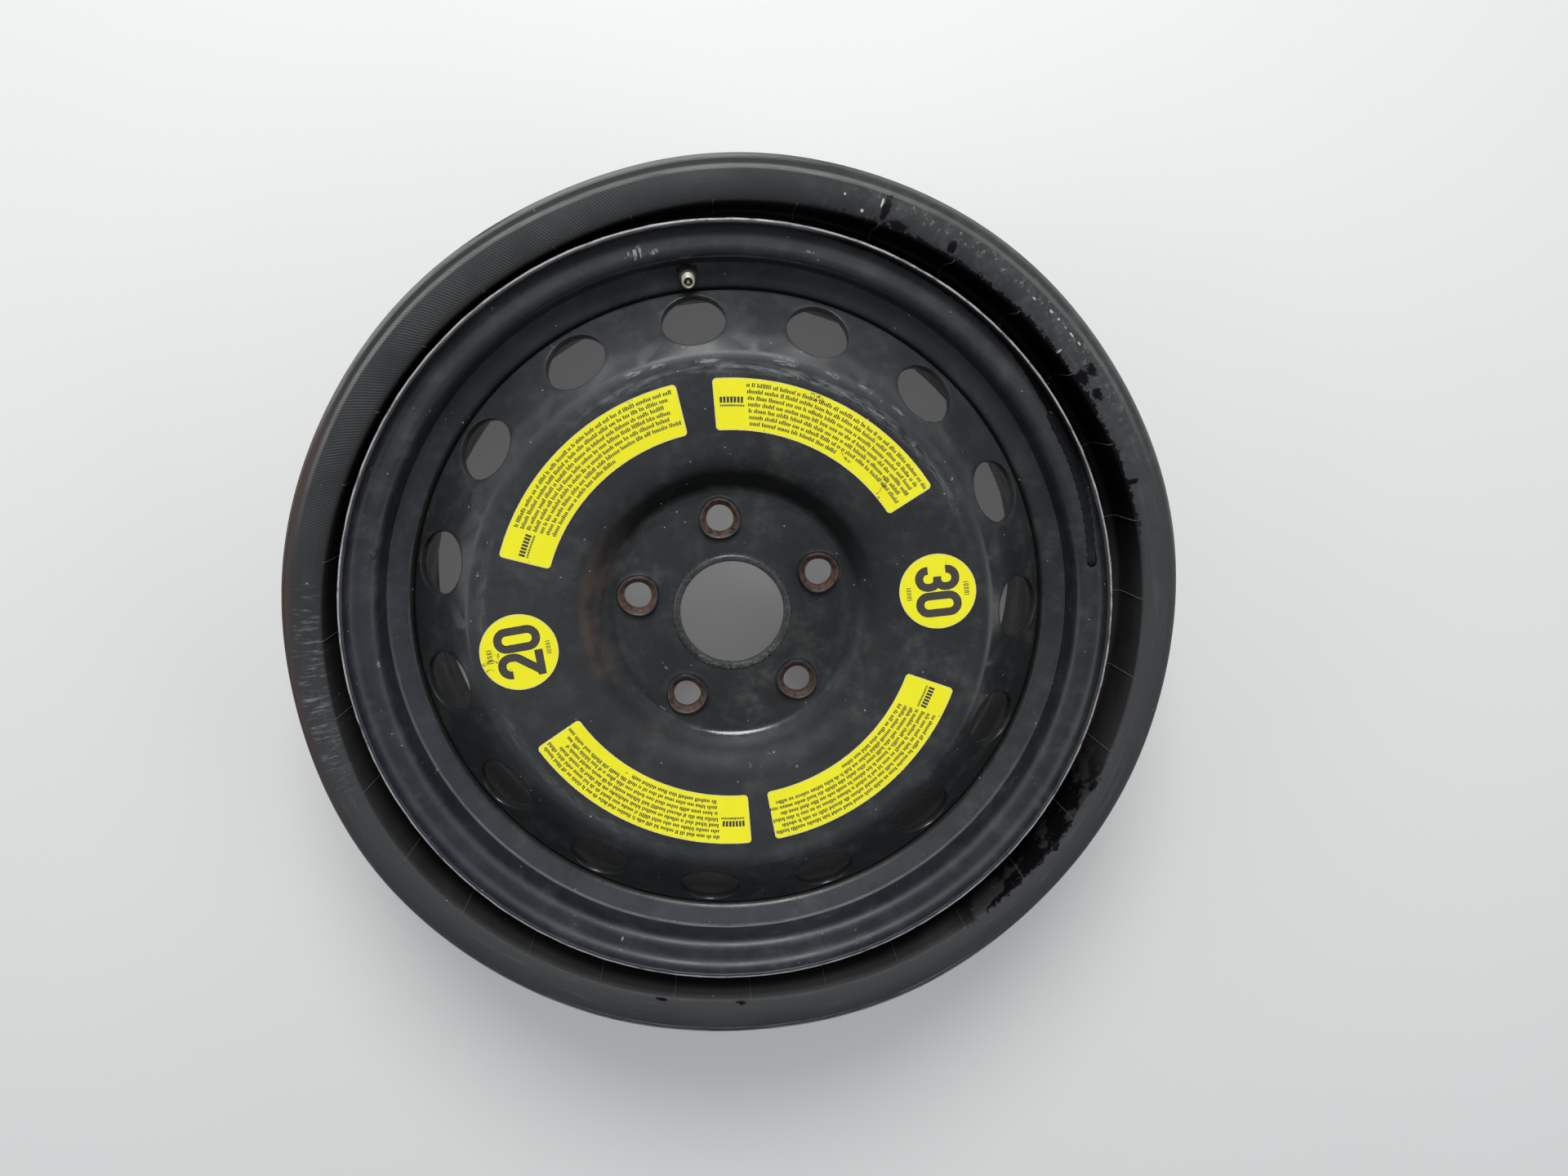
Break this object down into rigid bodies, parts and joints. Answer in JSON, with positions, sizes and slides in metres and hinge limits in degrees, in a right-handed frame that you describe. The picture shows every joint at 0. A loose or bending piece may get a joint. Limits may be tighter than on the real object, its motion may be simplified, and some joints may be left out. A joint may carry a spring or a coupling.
{
  "type": "space saver spare wheel",
  "caption": "Pressed steel spare wheel with a vented disc, bolt seats, yellow labels, a snap-in valve and a collapsible tyre folded in beside the rim for storage.",
  "frame": {"origin": "centre of the hub bore on the hub's mounting face", "axes": "+Z along the axle towards the outboard face, +Y towards the valve"},
  "size_m": [0.5559, 0.556, 0.1972],
  "materials": {
    "tyre_rubber": "dull, dusty",
    "black_paint": "satin",
    "valve_brass": "dull plated",
    "valve_rubber": "matte",
    "spring_steel": "bright",
    "yellow_label": "satin film"
  },
  "bodies": {
    "wheel": {"tyre": "tyre_rubber", "rim_barrel": "black_paint", "wheel_disc": "black_paint", "weld_beads": "black_paint", "valve_rubber": "valve_rubber", "valve_stem": "valve_brass", "valve_core_plug": "valve_brass", "valve_core_gasket": "valve_rubber", "valve_core_barrel": "valve_brass", "valve_core_spring": "spring_steel", "label_upper_right": "yellow_label", "label_lower_right": "yellow_label", "label_lower_left": "yellow_label", "label_upper_left": "yellow_label", "label_right_round": "yellow_label", "label_left_round": "yellow_label"},
    "valve_pin": {"valve_core_pin": "valve_brass", "valve_core_cup": "valve_brass", "valve_core_seal": "valve_rubber"}
  },
  "joints": [
    {"name": "valve_pin_slide", "type": "slide", "parent": "wheel", "child": "valve_pin", "axis": [0, 0.3156, -0.9489], "range_m": [0, 0.0015], "stiffness_N_per_m": 2000, "deforming": ["valve_core_spring"]}
  ]
}
